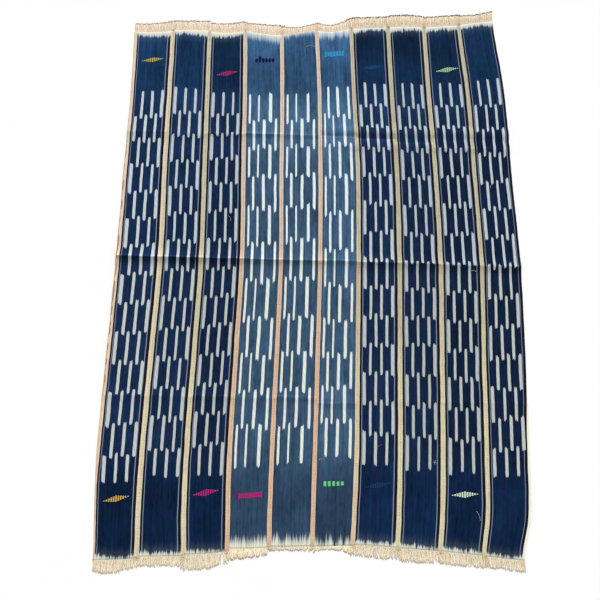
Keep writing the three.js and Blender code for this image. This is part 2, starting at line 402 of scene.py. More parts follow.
class Nodes:
    """Adds nodes to one tree, their settings first and then their sockets."""

    def __init__(self, tree):
        self.tree = tree

    def add(self, kind, settings=None, sockets=None):
        node = self.tree.nodes.new(kind)
        for name, value in (settings or {}).items():
            setattr(node, name, value)
        for key, value in (sockets or {}).items():
            self.feed(node.inputs[key], value)
        return node

    def feed(self, socket, value):
        if isinstance(value, Number):
            value = value.socket
        if isinstance(value, bpy.types.NodeSocket):
            self.tree.links.new(value, socket)
        else:
            socket.default_value = value

    def maths(self, operation, *values):
        node = self.add("ShaderNodeMath", {"operation": operation}, dict(enumerate(values)))
        return Number(self, node.outputs[0])

    def attribute(self, name):
        node = self.add("ShaderNodeAttribute", {"attribute_name": name})
        return Number(self, node.outputs["Fac"])

    def smooth(self, low, high, value):
        """0 below low and 1 above high, softly between."""
        node = self.add(
            "ShaderNodeMapRange", {"interpolation_type": "SMOOTHSTEP"},
            {"Value": value, "From Min": low, "From Max": high})
        return Number(self, node.outputs["Result"])

    def band(self, low, high, value, soft):
        """1 between low and high, with soft edges."""
        return (self.smooth(low - soft, low + soft, value)
                * (1 - self.smooth(high - soft, high + soft, value)))

    def place(self, x, y, z):
        return self.add("ShaderNodeCombineXYZ", None, {"X": x, "Y": y, "Z": z}).outputs[0]

    def cloudy(self, place, scale=1.0, detail=2.0):
        """Smooth noise from 0 to 1."""
        node = self.add(
            "ShaderNodeTexNoise", {"noise_dimensions": "3D"},
            {"Vector": place, "Scale": scale, "Detail": detail})
        return Number(self, node.outputs["Fac"])

    def chance(self, place):
        """Three random numbers from 0 to 1 for a place."""
        node = self.add("ShaderNodeTexWhiteNoise", {"noise_dimensions": "3D"}, {"Vector": place})
        parts = self.add("ShaderNodeSeparateColor", None, {"Color": node.outputs["Color"]})
        return [Number(self, socket) for socket in parts.outputs]

    def mix(self, share, first, second, blend="MIX"):
        """A colour between two, or one blended over the other."""
        node = self.add(
            "ShaderNodeMix", {"data_type": "RGBA", "blend_type": blend},
            {0: share, 6: opaque(first), 7: opaque(second)})
        return node.outputs[2]

    def grey(self, value):
        return self.add(
            "ShaderNodeCombineColor", None, {"Red": value, "Green": value, "Blue": value}).outputs[0]

    def tint(self, colour, by):
        """A colour multiplied by another."""
        return self.mix(1.0, colour, by, "MULTIPLY")

    def dim(self, colour, value):
        """A colour multiplied by a number."""
        return self.tint(colour, self.grey(value))


def opaque(colour):
    """A colour as a shader's four numbers, or its socket."""
    if isinstance(colour, (bpy.types.NodeSocket, Number)):
        return colour
    return (*tuple(colour)[:3], 1.0)


def new_material(name, roughness, specular, sheen):
    """An empty cloth material, its nodes and its shader."""
    material = bpy.data.materials.new(name)
    material.use_nodes = True
    tree = material.node_tree
    tree.nodes.clear()
    nodes = Nodes(tree)
    shader = nodes.add("ShaderNodeBsdfPrincipled", None, {
        "Roughness": roughness, "Specular IOR Level": specular, "Sheen Weight": sheen,
        "Sheen Roughness": 0.6})
    nodes.add("ShaderNodeOutputMaterial", None, {"Surface": shader.outputs[0]})
    return material, nodes, shader


def add_bump(nodes, shader, height, distance, strength):
    bump = nodes.add(
        "ShaderNodeBump", None, {"Strength": strength, "Distance": distance, "Height": height})
    nodes.feed(shader.inputs["Normal"], bump.outputs["Normal"])


# Woven strips

# How the dye's colour differs above the dashes and among them from that below
ZONE_TINTS = {
    "dark": ((0.9, 0.97, 0.88), (1.62, 1.2, 1.12)),
    "washed": ((0.82, 1.05, 1.16), (1.26, 1.24, 1.16)),
}
# The reddest and the greenest dye of each kind, by colour
DYE_HUES = {
    "dark": ((1.34, 0.93, 1.14), (0.78, 1.07, 0.91)),
    "washed": ((1.12, 0.98, 1.04), (0.92, 1.02, 0.97)),
}
# The unevenness of the dye, in clouds: how many there are across a strip, how long they run along
# it in millimetres, their seed and their detail
Cloud = namedtuple("Cloud", "count run seed detail")
CLOUDS = {
    "streaks": Cloud(26, 95, 3.7, 4.0), "hairs": Cloud(90, 30, 5.1, 3.0),
    "patches": Cloud(2.2, 90, 9.3, 4.0), "spots": Cloud(13, 16, 2.9, 3.0),
    "hue": Cloud(5, 24, 6.1, 1.0), "dash hue": Cloud(9, 60, 1.9, 1.0),
    "blush": Cloud(6, 80, 4.4, 3.0), "soil": Cloud(14, 22, 1, 3.0),
}
# The colour of the dashes in the low and in the upper half, by colour
BLEACH = ((0.99, 0.985, 0.94), (1.0, 1.05, 1.11))
# The undyed ends at the low hem and at the top, at their tips and where they meet the dye
PALE_ENDS = (linear(250, 240, 210), linear(240, 228, 204))
BLUISH_ENDS = (linear(210, 220, 212), linear(196, 213, 221))
# The soiled selvedge's colour, and the brown of the painted shadow along the lifted left edge
SOILED_SELVEDGE, PAINTED_EDGE_SHADOW = linear(172, 146, 112), linear(164, 118, 74)
CLEAN_EDGE, BRIGHT_EDGE = linear(240, 214, 190), linear(252, 248, 234)
# How softly a warp stripe ends, and how far all the warp and each thread of it sway to the side, as
# shares of a strip's width
STRIPE_SOFT, WARP_SWAY, THREAD_SWAY = 0.003, 0.026, 0.006
# The ribs of warp across a strip, and how often in millimetres a rib dips under the weft
WARP_RIBS, WEFT_PITCH = 92, 2.3
# The heights between which the dye changes above the dashes and below them, and those of the paler
# band among the upper dashes of the inner strips, with how much paler it is
ABOVE_DASHES, BELOW_DASHES = (400, 520), (-560, -470)
PALER_BAND, PALER_BY = (300, 470), 0.42
# The corners across a strip, as shares of its width
ACROSS = (
    0, 0.006, 0.02, 0.045, 0.09, 0.14, 0.2, 0.27, 0.34, 0.42, 0.5,
    0.58, 0.66, 0.73, 0.8, 0.86, 0.91, 0.955, 0.98, 0.994, 1)
LENGTH_STEPS = 288
# How much closer the steps along a strip are at a fold, and how near it
FOLD_CLOSENESS, FOLD_NEAR = 3.5, 11
# How finely the steps and the rows of dashes are worked out, and how many rows lie past each end
LENGTH_SAMPLES, ROW_SAMPLES, SPARE_ROWS = 1200, 60, 4
# Half the gap between two strips
JOIN_GAP = 0.06
BAKE_COLUMNS = 4
BAKE_MARGIN = 0.004
# How far a side face reaches past the upper face on the bake map, as a share of the margin
BAKE_SIDE = 0.6
# How far in a strip's selvedge is rounded, and how much of the thickness it loses there
ROUNDED_EDGE = 2.2
EDGE_LOSS = 0.42
# The same for the first millimetres beside its hems
THINNED_HEM = 6.0
HEM_LOSS = 0.3


def row_numbers(ikat):
    """The heights and the numbers of a strip's dash rows, as two rising lists."""
    layout = LAYOUTS[ikat.layout]
    last = layout.rows - 1
    marks = np.linspace(0, last, 5)
    slopes = np.gradient(ikat.marks[:5], marks)
    numbers = np.linspace(0, last, ROW_SAMPLES)
    heights = []
    for number in numbers:
        i = min(3, int(number / last * 4))
        reach = marks[i + 1] - marks[i]
        heights.append(eased(
            (number - marks[i]) / reach, ikat.marks[i], ikat.marks[i + 1],
            slopes[i] * reach, slopes[i + 1] * reach))
    pitch = (ikat.marks[0] - ikat.marks[4]) / last
    foot = last + 1 + layout.overlap
    heights = [
        heights[0] + SPARE_ROWS * pitch, *heights,
        ikat.marks[5], ikat.marks[5] - SPARE_ROWS * pitch]
    numbers = [-SPARE_ROWS, *numbers, foot, foot + SPARE_ROWS]
    return heights[::-1], numbers[::-1]


def length_shares(strip):
    """Where a strip's rows of corners lie, from 0 at its low hem to 1 at the top, closer at folds."""
    low, top = LOW_ENDS[strip].hem[1], TOP_ENDS[strip].hem[1]
    heights = np.linspace(low, top, LENGTH_SAMPLES)
    closeness = 1.0 + FOLD_CLOSENESS * sum(
        np.exp(-((heights - fold.y) / FOLD_NEAR) ** 2) for fold in FOLDS)
    run = np.cumsum(closeness) - closeness[0]
    return np.interp(
        np.linspace(0, run[-1], LENGTH_STEPS + 1), run, (heights - low) / (top - low))


def strip_mesh(strip, cloth):
    """One woven strip as a closed sheet, with the measures that its material reads."""
    ikat, top, low = IKATS[strip], TOP_ENDS[strip], LOW_ENDS[strip]
    row_heights, row_names = row_numbers(ikat)
    thickness = cloth.thickness / MM
    columns = len(ACROSS)
    upper, under, measures = [], [], []
    for along in length_shares(strip):
        for share in ACROSS:
            y = lerp(across(low.hem, share), across(top.hem, share), along)
            left, right = join_x(strip, y) + JOIN_GAP, join_x(strip + 1, y) - JOIN_GAP
            x = lerp(left, right, share)
            near = min(x - left, right - x)
            join = strip if share < 0.5 else strip + 1
            lie = lie_at(x, y, cloth)
            lie += max(-lie, join_pucker(near, y, join, cloth)) if abs(y) < PUCKER_END else 0
            loss = thickness * EDGE_LOSS * (1 - min(1.0, near / ROUNDED_EDGE)) ** 2
            to_hem = min(y - across(low.hem, share), across(top.hem, share) - y)
            loss += thickness * HEM_LOSS * (1 - min(1.0, to_hem / THINNED_HEM)) ** 2
            upper.append(in_frame(x, y, lie + thickness - loss))
            under.append(in_frame(x, y, lie + loss * 0.5))
            row = np.interp(y - ikat.tilt * (share - 0.5), row_heights, row_names)
            dyed = min(across(top.dyed, share) - y, y - across(low.dyed, share))
            measures.append((share, row, dyed, y))
    count = len(upper)
    faces, corners = strip_faces(columns, count)
    mesh = bpy.data.meshes.new(f"strip_{strip + 1:02d}_cloth")
    mesh.from_pydata(upper + under, [], faces)
    for name, values in zip(("share", "row", "dyed", "warp_mm"), zip(*measures)):
        attribute = mesh.attributes.new(name, "FLOAT", "POINT")
        attribute.data.foreach_set("value", np.array(values * 2, np.float32))
    uv = mesh.uv_layers.new(name="OFBake")
    uv.data.foreach_set("uv", np.array(corners, np.float32).ravel())
    end_faces = 2 * (columns - 1)
    mesh.polygons.foreach_set(
        "use_smooth", [True] * (len(faces) - end_faces) + [False] * end_faces)
    return mesh


def strip_faces(columns, count):
    """The faces of a closed strip and the place of each corner on its bake map, on which the strip's
    length is cut into side by side bands and the underside shares the upper face's place."""
    band_steps = LENGTH_STEPS // BAKE_COLUMNS
    band_width = 1 / BAKE_COLUMNS

    faces, corners = [], []

    def place(step, column, band, out_x, out_y):
        u = band * band_width + lerp(BAKE_MARGIN, band_width - BAKE_MARGIN, ACROSS[column])
        v = lerp(BAKE_MARGIN, 1 - BAKE_MARGIN, (step - band * band_steps) / band_steps)
        return (u + out_x * BAKE_MARGIN * BAKE_SIDE, v + out_y * BAKE_MARGIN * BAKE_SIDE)

    def add(around, band, turned, out_x=0, out_y=0):
        """Adds a face by its corners: each has a step, a column and 1 where it is underneath."""
        around = around[::-1] if turned else around
        faces.append([step * columns + column + under * count for step, column, under in around])
        corners.extend(
            place(step, column, band, out_x * under, out_y * under)
            for step, column, under in around)

    for step in range(LENGTH_STEPS):
        band = step // band_steps
        for column in range(columns - 1):
            around = [(step, column), (step, column + 1), (step + 1, column + 1), (step + 1, column)]
            for under in (0, 1):
                add([(*corner, under) for corner in around], band, turned=under)
        for column, out in ((0, -1), (columns - 1, 1)):
            add([(step, column, 0), (step + 1, column, 0), (step + 1, column, 1), (step, column, 1)],
                band, turned=out > 0, out_x=out)
    for step, out in ((0, -1), (LENGTH_STEPS, 1)):
        band = 0 if out < 0 else BAKE_COLUMNS - 1
        for column in range(columns - 1):
            add([(step, column, 0), (step, column, 1), (step, column + 1, 1), (step, column + 1, 0)],
                band, turned=out > 0, out_y=out)
    return faces, corners


def beside(nodes, reaches, from_left, from_right):
    """1 within a reach of a strip's left edge and within one of its right edge."""
    left, right = reaches
    return (1 - nodes.smooth(left - STRIPE_SOFT, left + STRIPE_SOFT, from_left)
            + nodes.smooth(1 - right - STRIPE_SOFT, 1 - right + STRIPE_SOFT, from_right))


def weave_material(strip, dyes):
    """Warp-faced cotton with resist-dyed dashes between undyed selvedges."""
    ikat, dye = IKATS[strip], dye_of(strip)
    layout = LAYOUTS[ikat.layout]
    is_dark = dye == "dark"
    material, nodes, shader = new_material(f"ikat strip {strip + 1}", 0.9, 0.03, 0.0)
    share, row = nodes.attribute("share"), nodes.attribute("row")
    dyed, warp = nodes.attribute("dyed"), nodes.attribute("warp_mm")

    def cloud(kind):
        look = CLOUDS[kind]
        place = nodes.place(share * look.count, warp / look.run, strip * look.seed)
        return nodes.cloudy(place, detail=look.detail)

    def shifted(shift):
        return cross + (1 - nodes.smooth(shift.start, shift.stop, warp)) * shift.amount

    thread = (share * WARP_RIBS).floor()
    tone, start_jitter, end_jitter = nodes.chance(nodes.place(thread, strip, 0.5))
    sway = nodes.cloudy(nodes.place(warp / 60, share * 3, strip * 1.3)) - 0.5
    fine_sway = nodes.cloudy(nodes.place(warp / 15, thread / 7, strip)) - 0.5
    cross = share + sway * WARP_SWAY + fine_sway * THREAD_SWAY
    from_left = shifted(LEFT_SHIFT) if strip == 0 else cross
    from_right = shifted(RIGHT_SHIFT) if strip == STRIP_COUNT - 1 else cross

    dash = dash_mask(nodes, strip, cross, row, (start_jitter, end_jitter))
    streaks, hairs, patches, spots = map(cloud, ("streaks", "hairs", "patches", "spots"))

    # The dyed ground
    ground = getattr(dyes, dye)
    reddest, greenest = DYE_HUES[dye]
    hue = nodes.smooth(0.4, 0.6, cloud("hue") * 0.7 + streaks * 0.3)
    colour = nodes.mix(hue, tinted(ground, *reddest), tinted(ground, *greenest))
    fresh, among = ZONE_TINTS[dye]
    above = nodes.smooth(*ABOVE_DASHES, warp)
    colour = nodes.mix(above, colour, nodes.tint(colour, fresh))
    dashed = nodes.smooth(*BELOW_DASHES, warp) * (1 - above)
    colour = nodes.mix(dashed, colour, nodes.tint(colour, among))
    far, upper, middle, near = ikat.wash
    wash = (near + (middle - near) * nodes.smooth(-620, -420, warp)
            + (upper - middle) * nodes.smooth(390, 500, warp)
            + (far - upper) * nodes.smooth(545, 630, warp))
    if 0 < strip < STRIP_COUNT - 1:
        wash = wash * (1 + PALER_BY * nodes.band(*PALER_BAND, warp, 40))
    uneven = 1.0 + 1.4 * (streaks - 0.5) + 0.3 * (hairs - 0.5) + 0.2 * (tone - 0.5)
    uneven = uneven + 1.0 * (patches - 0.5) + 0.8 * (spots - 0.5)
    colour = nodes.dim(colour, wash * uneven)
    black = beside(nodes, layout.blacks, from_left, from_right)
    if is_dark:
        colour = nodes.mix(black, colour, dyes.black)
        left, right = layout.pale_lines
        pale = nodes.band(*left, from_left, 0.004) + nodes.band(*right, from_right, 0.004)
        colour = nodes.mix(pale * (0.5 + 0.6 * hairs), colour, dyes.pale_line)
    else:
        colour = nodes.mix(black * 0.8, colour, tinted(ground, 0.35, 0.35, 0.38))

    # The dashes
    dash_colour = dyes.dash if is_dark else dyes.bright_dash
    greenish = tinted(dash_colour, 1.0, 1.02, 0.93)
    lilac = tinted(dash_colour, 1.02, 0.96, 1.02)
    paint = nodes.mix(nodes.smooth(0.35, 0.65, cloud("dash hue")), greenish, lilac)
    paint = nodes.tint(paint, nodes.mix(nodes.smooth(-150, 150, warp), *BLEACH))
    twill = (share * 60 + warp / 3.2).sine() * 0.04
    paint = nodes.dim(paint, ikat.pale * (0.9 + 0.16 * hairs + 0.1 * (tone - 0.5) + twill))
    colour = nodes.mix(dash * (0.9 + 0.1 * hairs), colour, paint)

    # The undyed ends
    teeth = nodes.cloudy(
        nodes.place(share * (16 if is_dark else 11), 0.3, strip * 2.3), detail=3.0) - 0.5
    at_top = nodes.smooth(-100, 100, warp)
    if is_dark:
        reach = dyed + teeth * 24 + (start_jitter - 0.5) * 7 - 1.5 * at_top
        in_dye = nodes.smooth(-3.0, 4.0, reach)
    else:
        reach = dyed + teeth * (46 - 16 * at_top) + (start_jitter - 0.5) * (16 - 7 * at_top) + 3
        in_dye = nodes.smooth(-3.0, 14 + 6 * at_top, reach)
    pale_end = nodes.mix(at_top, *PALE_ENDS)
    raw = nodes.mix(nodes.smooth(-11, 0, reach), pale_end, nodes.mix(at_top, *BLUISH_ENDS))
    raw = nodes.dim(raw, 0.84 + 0.28 * hairs)
    bled = 1 - 0.045 * (1 - nodes.smooth(2, 26, reach))
    colour = nodes.mix(in_dye * bled, raw, colour)

    # The selvedges
    edge = beside(nodes, layout.selvedges, from_left, from_right)
    side = nodes.smooth(0.4, 0.6, share)
    blush = cloud("blush")
    peach = JOIN_PEACH[strip] + (JOIN_PEACH[strip + 1] - JOIN_PEACH[strip]) * side
    height = nodes.smooth(-300, 450, warp)
    cream = nodes.mix(height, dyes.cream, tinted(dyes.cream, 0.97, 0.99, 1.12))
    rosy = nodes.mix(
        height, tinted(dyes.peach, 1.0, 0.95, 0.9), tinted(dyes.peach, 1.03, 1.17, 1.34))
    selvedge = nodes.mix(nodes.smooth(0.1, 0.9, peach + (blush - 0.5) * 1.5), cream, rosy)
    dull = JOIN_DULL[strip] + (JOIN_DULL[strip + 1] - JOIN_DULL[strip]) * side
    selvedge = nodes.dim(selvedge, 1 - dull * nodes.smooth(-400, -60, warp) * (0.5 + blush))
    # Stains on the selvedge, in clouds
    soil = nodes.smooth(0.5, 0.75, cloud("soil"))
    selvedge = nodes.mix(soil * 0.3, selvedge, SOILED_SELVEDGE)
    if strip == 0:
        # Painted shadow: a brown line along the left edge where it stands up in waves
        rolled = nodes.smooth(0.42, 0.62, nodes.cloudy(nodes.place(0.2, warp / 30, 0.7)))
        edge_shadow = 1 - nodes.smooth(0.005, 0.016, share - rolled * 0.028)
        edge_shadow = edge_shadow * (0.3 + 0.7 * nodes.band(-350, 310, warp, 60))
        selvedge = nodes.mix(edge_shadow * 0.85, nodes.mix(0.55, selvedge, CLEAN_EDGE), PAINTED_EDGE_SHADOW)
    if strip == STRIP_COUNT - 1:
        selvedge = nodes.mix(nodes.smooth(0.88, 0.9, share) * 0.85, selvedge, BRIGHT_EDGE)
    selvedge = nodes.dim(selvedge, 0.84 + 0.28 * hairs + 0.08 * (tone - 0.5))
    colour = nodes.mix(edge, colour, selvedge)
    # Painted shade beside the folds and a painted highlight on their crests, weaker on selvedges and
    # dashes
    colour = nodes.dim(colour, crease_shade(nodes, strip, share, warp, (edge * 0.55).most(dash * 0.6)))

    # The weave itself: rounded warp ribs, pressed in turn by the weft
    rib = 1 - abs((share * WARP_RIBS) % 1.0 * 2 - 1)
    turn = (warp * (2 * math.pi / WEFT_PITCH) + (thread % 2.0) * math.pi).sine()
    relief = rib.least(0.7) * (0.75 + 0.25 * turn)
    # Painted shade: the colour darkens in the hollows between the ribs and where the weft presses them
    colour = nodes.dim(colour, 0.84 + 0.3 * relief)
    nodes.feed(shader.inputs["Base Color"], colour)
    nodes.feed(shader.inputs["Roughness"], 0.84 + 0.14 * hairs)
    add_bump(nodes, shader, relief + 0.5 * hairs, 0.00022, 0.6)
    return material


# How far in millimetres the painted shade beside a fold reaches on each kind of dye, and how strong
# the painted highlight on the fold's crest is beside that shade
PAINTED_SHADE_REACH, CREST_LIGHT = {"dark": 27, "washed": 20}, 0.85


def crease_shade(nodes, strip, share, warp, spared):
    """The painted shade beside each fold and the painted highlight on its crest, as a factor on the
    cloth's colour, less where it is spared: 1 is unchanged."""
    shade = 1.0
    reach = PAINTED_SHADE_REACH[dye_of(strip)]
    for number, fold in enumerate(FOLDS):
        soil = FOLD_PAINTED_SHADE[number].strengths[strip]
        middle = JOIN_ROWS[4].x[strip] - JOIN_ROWS[0].x[0]
        line = fold.y + fold.drop * middle / 1000 + FOLD_PAINTED_SHADE[number].shifts[strip]
        uneven = nodes.cloudy(nodes.place(share * 2 + strip * 2, number * 5.0, 0.5), detail=1.0) - 0.5
        away = line - warp + uneven * 5
        away = away if soil > 0 else away * -1.0
        # band is the painted shade beside the fold, crest the painted highlight on its crest
        band = nodes.smooth(-1, 2, away) * (1 - nodes.smooth(4, reach, away))
        crest = nodes.band(-5, -1, away, 1.5)
        strength = abs(soil) * (1 - spared)
        shade = shade * (1 - band * strength) * (1 + crest * strength * CREST_LIGHT)
    return shade


# In pairs of rows: how far a dash's ends stray and slant, how far each thread of them strays, how
# softly they end, how long its narrower tips are, and how far ahead of its row a dash may start
DASH_STRAY, DASH_SLANT, THREAD_STRAY, DASH_SOFT, DASH_TIP = 0.05, 0.7, 0.026, 0.014, 0.07
DASH_LEAD = 0.1


def dash_mask(nodes, strip, cross, row, jitters):
    """1 on a strip's dashes. Each column's dashes are a chance bit longer and higher than the next."""
    ikat = IKATS[strip]
    layout = LAYOUTS[ikat.layout]
    middles = [(a + b) / 2 for a, b in zip(layout.centres, layout.centres[1:])]
    column, centre, half = 0.0, layout.centres[0], layout.halves[0]
    for i, middle in enumerate(middles):
        past = cross > middle
        column = past + column
        centre = past * (layout.centres[i + 1] - layout.centres[i]) + centre
        half = past * (layout.halves[i + 1] - layout.halves[i]) + half
    phase = (column + (1 if ikat.first_column == 2 else 0)) % 2.0
    cell_place = (row - phase + DASH_LEAD) * 0.5
    cell = cell_place.floor()
    height, length, width = nodes.chance(nodes.place(column, cell, strip + 0.5))
    within = cell_place - cell
    slant = (cross - centre) * (width - 0.5) * DASH_SLANT
    begin = DASH_LEAD / 2 + (height - 0.5) * DASH_STRAY + slant
    stop = (1 + layout.overlap + DASH_LEAD) / 2 + (length - 0.5) * DASH_STRAY + slant
    frayed_begin, frayed_stop = ((jitter - 0.5) * THREAD_STRAY for jitter in jitters)
    lit = (nodes.smooth(0.0, DASH_SOFT, within - begin - frayed_begin)
           * nodes.smooth(0.0, DASH_SOFT, stop + frayed_stop - within))
    first_cells = math.ceil(layout.rows / 2)
    second_cells = layout.rows // 2
    last_cell = first_cells + (second_cells - first_cells) * phase
    inside = (cell > -0.5) * (cell < last_cell - 0.5)
    tip = nodes.smooth(0.0, DASH_TIP, within - begin) * nodes.smooth(0.0, DASH_TIP, stop - within)
    reach = half * (0.9 + 0.2 * width) * (0.84 + 0.16 * tip) - abs(cross - centre)
    return lit * inside * nodes.smooth(-0.003, 0.003, reach)


# Laid yarns: fringes, stitches and inlays

def laid_yarn_tree():
    """Lays a yarn at each point: its turn and size are the point's own, and it arches and curls."""
    tree = bpy.data.node_groups.new("Laid yarns", "GeometryNodeTree")
    sockets = (
        ("Points", "NodeSocketGeometry", None), ("Segments", "NodeSocketInt", 6),
        ("Sides", "NodeSocketInt", 4), ("Tip share", "NodeSocketFloat", 0.5),
        ("Arch", "NodeSocketFloat", 0.0), ("Curl", "NodeSocketFloat", 0.0),
        ("Curl scale", "NodeSocketFloat", 60.0), ("Seed", "NodeSocketFloat", 1.0),
        ("Finish", "NodeSocketMaterial", None))
    for name, kind, default in sockets:
        socket = tree.interface.new_socket(name, in_out="INPUT", socket_type=kind)
        if default is not None:
            socket.default_value = default
    tree.interface.new_socket("Yarns", in_out="OUTPUT", socket_type="NodeSocketGeometry")
    nodes = Nodes(tree)

    def added(kind, settings=None, **sockets):
        """The first output of a new geometry node. In a socket's name, _ stands for a space."""
        sockets = {name.replace("_", " "): value for name, value in sockets.items()}
        return nodes.add("GeometryNode" + kind, settings, sockets).outputs[0]

    def marked(shape, name, value):
        return added(
            "StoreNamedAttribute", {"data_type": "FLOAT", "domain": "POINT"},
            Geometry=shape, Name=name, Value=value)

    def stored(name, kind="FLOAT"):
        return added("InputNamedAttribute", {"data_type": kind}, Name=name)

    def vector_maths(operation, first, second):
        return nodes.add(
            "ShaderNodeVectorMath", {"operation": operation}, {0: first, 1: second}).outputs[0]

    given = nodes.add("NodeGroupInput").outputs
    tip_share, arch, curl, seed = (
        Number(nodes, given[name]) for name in ("Tip share", "Arch", "Curl", "Seed"))
    line = added("CurvePrimitiveLine", End=(0, 1, 0))
    drawn = added("ResampleCurve", Curve=line, Count=nodes.maths("ADD", given["Segments"], 1))
    factor = Number(nodes, added("SplineParameter"))
    arched = added(
        "SetPosition", Geometry=marked(drawn, "along", factor),
        Offset=nodes.place(0.0, 0.0, (factor * math.pi).sine() * arch))
    sized = added("SetCurveRadius", Curve=arched, Radius=1 - (1 - tip_share) * factor * factor)
    ring = added("CurvePrimitiveCircle", Resolution=given["Sides"], Radius=0.5)
    profile = marked(ring, "around", added("SplineParameter"))
    laid = added(
        "InstanceOnPoints", Points=added("MeshToPoints", Mesh=given["Points"]),
        Instance=added("CurveToMesh", Curve=sized, Profile_Curve=profile, Fill_Caps=True),
        Rotation=stored("turn", "FLOAT_VECTOR"), Scale=stored("size", "FLOAT_VECTOR"))
    waves = nodes.add("ShaderNodeTexNoise", {"noise_dimensions": "4D"}, {
        "Vector": added("InputPosition"), "W": Number(nodes, stored("number")) * 3.17 + seed,
        "Scale": given["Curl scale"], "Detail": 1.0})
    swing = vector_maths("SUBTRACT", waves.outputs["Color"], (0.5, 0.5, 0.5))
    offset = nodes.add("ShaderNodeVectorMath", {"operation": "SCALE"}, {
        0: vector_maths("MULTIPLY", swing, (1.0, 0.35, 0.06)),
        "Scale": Number(nodes, stored("along")) * curl})
    curled = added(
        "SetPosition", Geometry=added("RealizeInstances", Geometry=laid), Offset=offset.outputs[0])
    finished = added("SetMaterial", Geometry=curled, Material=given["Finish"])
    nodes.add("NodeGroupOutput", None, {"Yarns": finished})
    return tree


# Where a yarn starts, its turn and size as vectors in metres, and its tone from 0 to 1
Yarn = namedtuple("Yarn", "start turn size tone")


def lay_yarns(name, yarns, finish, **shape):
    """The yarns as one plain piece of undyed yarn, each with its own place on the bake map."""
    mesh = bpy.data.meshes.new(f"{name}_points")
    mesh.from_pydata([yarn.start for yarn in yarns], [], [])
    for label, values in (("turn", [y.turn for y in yarns]), ("size", [y.size for y in yarns])):
        attribute = mesh.attributes.new(label, "FLOAT_VECTOR", "POINT")
        attribute.data.foreach_set("vector", np.array(values, np.float32).ravel())
    for label, values in (("tone", [y.tone for y in yarns]), ("number", range(len(yarns)))):
        attribute = mesh.attributes.new(label, "FLOAT", "POINT")
        attribute.data.foreach_set("value", np.array(list(values), np.float32))
    points = bpy.data.objects.new(f"{name}_points", mesh)
    bpy.context.collection.objects.link(points)
    tree = bpy.data.node_groups.get("Laid yarns") or laid_yarn_tree()
    modifier = points.modifiers.new("Laid yarns", "NODES")
    modifier.node_group = tree
    wanted = {label.replace("_", " ").capitalize(): value for label, value in shape.items()}
    for item in tree.interface.items_tree:
        if item.in_out == "INPUT" and item.name in wanted:
            modifier[item.identifier] = wanted[item.name]
        elif item.in_out == "INPUT" and item.name == "Finish":
            modifier[item.identifier] = finish
    graph = bpy.context.evaluated_depsgraph_get()
    plain = bpy.data.meshes.new_from_object(
        points.evaluated_get(graph), preserve_all_data_layers=True, depsgraph=graph)
    bpy.data.objects.remove(points)
    bpy.data.meshes.remove(mesh)
    if not plain.polygons:
        raise RuntimeError(f"{name} has no yarns")
    lay_out_yarns(plain, len(yarns))
    plain.polygons.foreach_set("use_smooth", [True] * len(plain.polygons))
    piece = new_piece(name, plain, finish)
    return piece


def lay_out_yarns(mesh, count):
    """Unrolls each yarn into its own cell of the bake map, and once more for its ply."""
    def read(name):
        values = np.empty(len(mesh.vertices), np.float32)
        mesh.attributes[name].data.foreach_get("value", values)
        return values

    around, along, number = read("around"), read("along"), read("number")
    wide = max(1, math.ceil(math.sqrt(count * 1.6)))
    high = math.ceil(count / wide)
    bake, ply = mesh.uv_layers.new(name="OFBake"), mesh.uv_layers.new(name="Ply")
    bake_places = np.zeros((len(mesh.loops), 2), np.float32)
    ply_places = np.zeros((len(mesh.loops), 2), np.float32)
    for face in mesh.polygons:
        vertices = [mesh.loops[i].vertex_index for i in face.loop_indices]
        us, vs = [float(around[v]) for v in vertices], [float(along[v]) for v in vertices]
        if max(vs) - min(vs) < 1e-4:
            us = [0.3, 0.7, 0.7, 0.3, 0.5, 0.5][:len(us)]
            vs = [abs(vs[0] - s) for s in (0.0, 0.0, 0.04, 0.04, 0.02, 0.02)][:len(us)]
        elif max(us) - min(us) > 0.5:
            us = [u + 1 if u < 0.5 else u for u in us]
        cell = int(round(float(number[vertices[0]])))
        for i, u, v in zip(face.loop_indices, us, vs):
            bake_places[i] = ((cell % wide + 0.06 + 0.88 * u) / wide,
                              (cell // wide + 0.03 + 0.94 * v) / high)
            ply_places[i] = (u, v)
    bake.data.foreach_set("uv", bake_places.ravel())
    ply.data.foreach_set("uv", ply_places.ravel())


def yarn_material(name, colour, second, plies, ends=None, glow=(1.0, 1.0)):
    """Twisted cotton: each yarn of its own tone between two colours, its ends of a third, and how
    bright it is at its root and near its tip."""
    material, nodes, shader = new_material(name, 0.92, 0.12, 0.05)
    tone = nodes.attribute("tone")
    unrolled = nodes.add("ShaderNodeUVMap", {"uv_map": "Ply"})
    parts = nodes.add("ShaderNodeSeparateXYZ", None, {"Vector": unrolled.outputs[0]})
    around, along = Number(nodes, parts.outputs["X"]), Number(nodes, parts.outputs["Y"])
    twist = ((around + along * plies) * (4 * math.pi)).sine()
    fuzz = nodes.cloudy(nodes.place(around * 2, along * 9, tone * 40), detail=3.0)
    shade = nodes.mix(nodes.smooth(0.0, 1.0, tone), colour, second)
    if ends is not None:
        shade = nodes.mix(nodes.smooth(0.85, 0.95, along + (tone - 0.5) * 0.05), shade, ends)
    brightness = glow[0] + (glow[1] - glow[0]) * nodes.smooth(0.3, 0.75, along)
    # The twist term paints shade in the grooves between the plies and light on their crowns
    shade = nodes.dim(shade, (0.8 + 0.26 * fuzz + 0.07 * twist) * brightness)
    nodes.feed(shader.inputs["Base Color"], shade)
    nodes.feed(shader.inputs["Roughness"], 0.86 + 0.12 * fuzz)
    add_bump(nodes, shader, twist * 0.5 + fuzz, 0.00015, 0.6)
    return material


